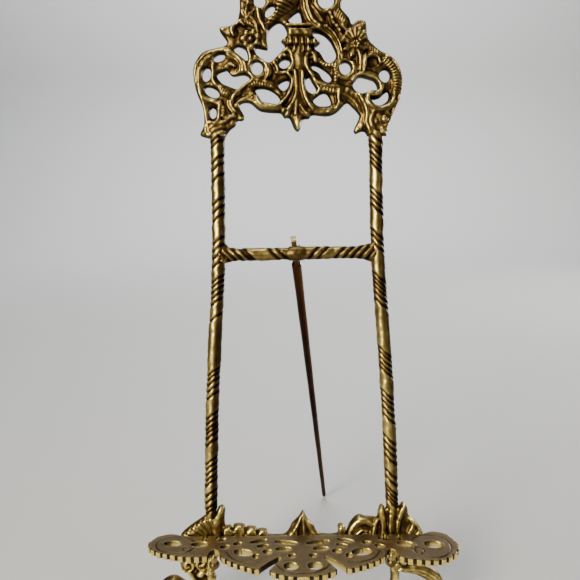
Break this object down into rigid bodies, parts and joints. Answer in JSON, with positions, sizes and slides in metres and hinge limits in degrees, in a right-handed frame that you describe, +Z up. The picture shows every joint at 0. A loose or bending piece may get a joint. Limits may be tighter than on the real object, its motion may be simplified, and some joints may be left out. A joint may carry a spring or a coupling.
{
  "type": "plate display stand",
  "caption": "Pierced cast-brass tabletop easel with a scalloped fold-up ledge, scroll feet and a hinged rear leg, for showing a plate, book or small picture upright.",
  "frame": {"origin": "middle of the stand's footprint box, on the table", "axes": "+Z up, -Y towards the viewer (the ledge side), +X to the viewer's right"},
  "size_m": [0.167, 0.1564, 0.3533],
  "materials": {
    "cast_brass": "aged and polished on the high spots, dark brown in the recesses",
    "matte_brass": "dull brown-grey top with bright teeth along the rim",
    "dark_rod": "dark brown, satin",
    "pin_brass": "worn"
  },
  "bodies": {
    "frame": {"crest": "cast_brass", "left_upright": "cast_brass", "right_upright": "cast_brass", "crossbar": "cast_brass", "base_rail": "cast_brass", "left_foot": "cast_brass", "right_foot": "cast_brass", "left_ledge_pin": "pin_brass", "right_ledge_pin": "pin_brass", "leg_pin": "pin_brass"},
    "ledge": {"ledge": "matte_brass"},
    "rear_leg": {"rear_leg": "dark_rod"}
  },
  "joints": [
    {"name": "ledge_fold", "type": "hinge", "parent": "frame", "child": "ledge", "pos_m": [0, -0.04525, 0.0502], "axis": [-1, 0, 0], "range_deg": [0, 97]},
    {"name": "rear_leg_swing", "type": "hinge", "parent": "frame", "child": "rear_leg", "pos_m": [-0.0016, -0.00324, 0.20435], "axis": [-0.9937, -0.0194, -0.1102], "range_deg": [0, 29]}
  ]
}
